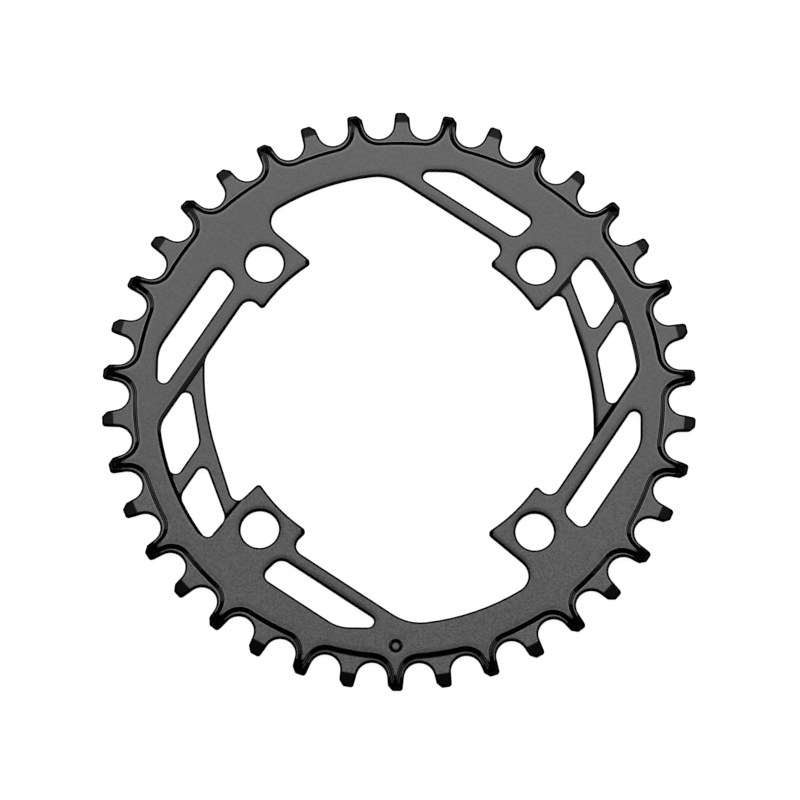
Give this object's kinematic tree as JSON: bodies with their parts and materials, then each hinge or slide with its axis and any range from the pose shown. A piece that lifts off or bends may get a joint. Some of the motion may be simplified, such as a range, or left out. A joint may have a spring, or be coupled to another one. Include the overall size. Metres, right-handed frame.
{
  "type": "bicycle chainring",
  "caption": "Flat toothed ring for a bicycle crank, narrow and wide teeth by turns, with bolt tabs inside and lightening slots.",
  "frame": {"origin": "on the ring's axis, in the plane of the rim's back face, on which the ring lies", "axes": "+Z along the axis out of the front face, +Y towards a narrow tooth, -Y towards the wide tooth with the dimple below it"},
  "size_m": [0.1598, 0.1602, 0.004],
  "materials": {
    "anodised_aluminium": "black anodised, satin"
  },
  "bodies": {
    "root": {"chainring": "anodised_aluminium"}
  },
  "joints": []
}
